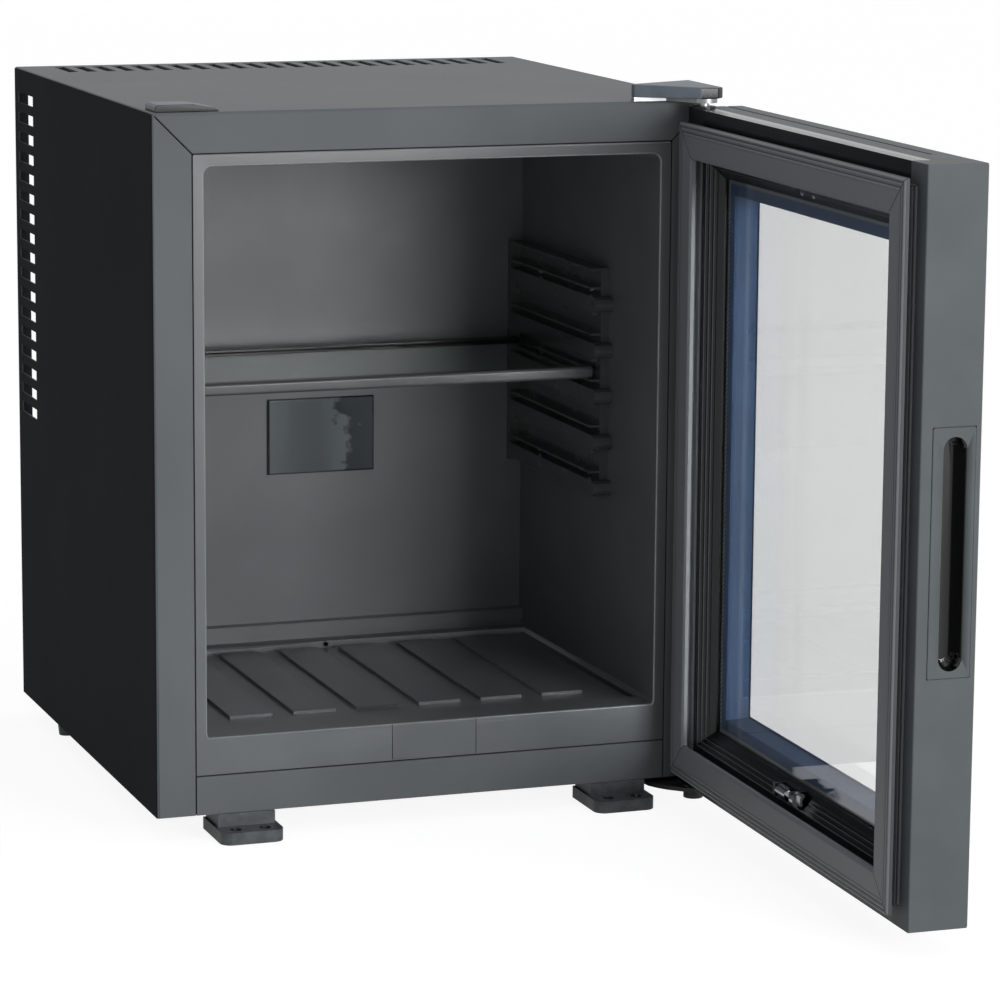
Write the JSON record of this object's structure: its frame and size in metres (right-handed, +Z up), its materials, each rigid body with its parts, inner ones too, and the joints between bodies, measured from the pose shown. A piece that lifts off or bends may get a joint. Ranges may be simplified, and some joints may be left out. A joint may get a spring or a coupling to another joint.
{
  "type": "minibar fridge",
  "caption": "Small free-standing minibar fridge with a framed glass door standing open, a moulded liner with rails and a glass shelf, vents, and an absorption cooling unit behind.",
  "frame": {"origin": "middle of the cabinet's footprint, on the surface that the fridge stands on", "axes": "+Z up; the open front and the door are on the -Y side, the vented back on the +Y side; the door's hinge is on the +X side; the door stands open, so the part is longest along Y"},
  "size_m": [0.4226, 0.807, 0.5118],
  "materials": {
    "shell_paint": "charcoal powder coat on folded sheet",
    "liner_plastic": "vacuum-formed dark grey sheet",
    "foam": "rigid insulating foam",
    "plated_steel": "zinc-plated sheet",
    "plate_aluminium": "anodised dark aluminium",
    "block_aluminium": "milled aluminium",
    "rail_plastic": "moulded black plastic",
    "trim_plastic": "extruded grey plastic",
    "clear_glass": "toughened float glass",
    "screw_steel": "plated steel screws",
    "foot_plastic": "moulded dark grey plastic",
    "cover_plastic": "moulded grey plastic",
    "black_steel": "black powder-coated steel",
    "frame_grey": "moulded grey plastic, satin",
    "frame_black": "extruded black plastic",
    "seal_rubber": "soft grey magnetic seal",
    "magnet": "bonded magnet strip",
    "bush_nylon": "turned black nylon",
    "lock_chrome": "chrome-plated zinc",
    "spacer_aluminium": "perforated spacer bar",
    "unit_paint": "black lacquer on steel tube",
    "jacket_sheet": "galvanised jacket",
    "mineral_wool": "mineral wool",
    "tray_plastic": "moulded black plastic"
  },
  "bodies": {
    "cabinet": {"outer_shell": "shell_paint", "base_pan": "shell_paint", "liner": "liner_plastic", "threshold_cover": "liner_plastic", "insulation": "foam", "rear_panel": "plated_steel", "cold_plate": "plate_aluminium", "cold_block": "block_aluminium", "drain_tube": "tray_plastic", "drip_tray": "tray_plastic", "shelf_rail_left": "rail_plastic", "shelf_rail_right": "rail_plastic", "rail_screws": "screw_steel", "front_foot_left": "foot_plastic", "front_foot_right": "foot_plastic", "front_foot_screws": "screw_steel", "rear_feet": "foot_plastic", "top_hinge_plate": "plated_steel", "hinge_screws": "screw_steel", "top_hinge_pin": "screw_steel", "top_hinge_cover": "cover_plastic", "spare_hole_cap": "cover_plastic", "lower_hinge_plate": "black_steel", "lower_hinge_pin": "screw_steel", "boiler_jacket": "jacket_sheet", "boiler_insulation": "mineral_wool", "boiler_tube": "unit_paint", "heater_cartridge": "screw_steel", "condenser_fins": "unit_paint", "evaporator_tube": "unit_paint", "absorber_coil": "unit_paint", "absorber_vessel": "unit_paint", "liquid_pipe": "unit_paint", "boiler_strap": "plated_steel", "tube_strap": "plated_steel", "strap_screws": "screw_steel", "control_box": "tray_plastic", "terminal_block": "bush_nylon", "mains_gland": "tray_plastic"},
    "shelf": {"shelf_glass": "clear_glass", "shelf_front_trim": "trim_plastic", "shelf_rear_trim": "trim_plastic"},
    "door": {"handle_stile": "frame_grey", "hinge_stile": "frame_grey", "top_rail": "frame_grey", "bottom_rail": "frame_grey", "inner_frame_hinge": "frame_black", "inner_frame_handle": "frame_black", "inner_frame_top": "frame_black", "inner_frame_bottom": "frame_black", "outer_glass": "clear_glass", "inner_glass": "clear_glass", "glass_spacer": "spacer_aluminium", "door_gasket": "seal_rubber", "gasket_magnets": "magnet", "handle_insert": "frame_grey", "hinge_bushes": "bush_nylon", "door_screws": "screw_steel", "lock_base": "frame_black"},
    "lock": {"lock_barrel": "lock_chrome"}
  },
  "joints": [
    {"name": "door_hinge", "type": "hinge", "parent": "cabinet", "child": "door", "pos_m": [0.18845, -0.21805, 0.25], "axis": [0, 0, 1], "range_deg": [-88.9, 21.1]},
    {"name": "shelf_slide", "type": "slide", "parent": "cabinet", "child": "shelf", "axis": [0, -1, 0], "range_m": [0, 0.11]},
    {"name": "lock_turn", "type": "hinge", "parent": "door", "child": "lock", "pos_m": [0.17828, -0.40634, 0.0562], "axis": [0.0192, 0.9998, 0], "range_deg": [0, 90]}
  ]
}
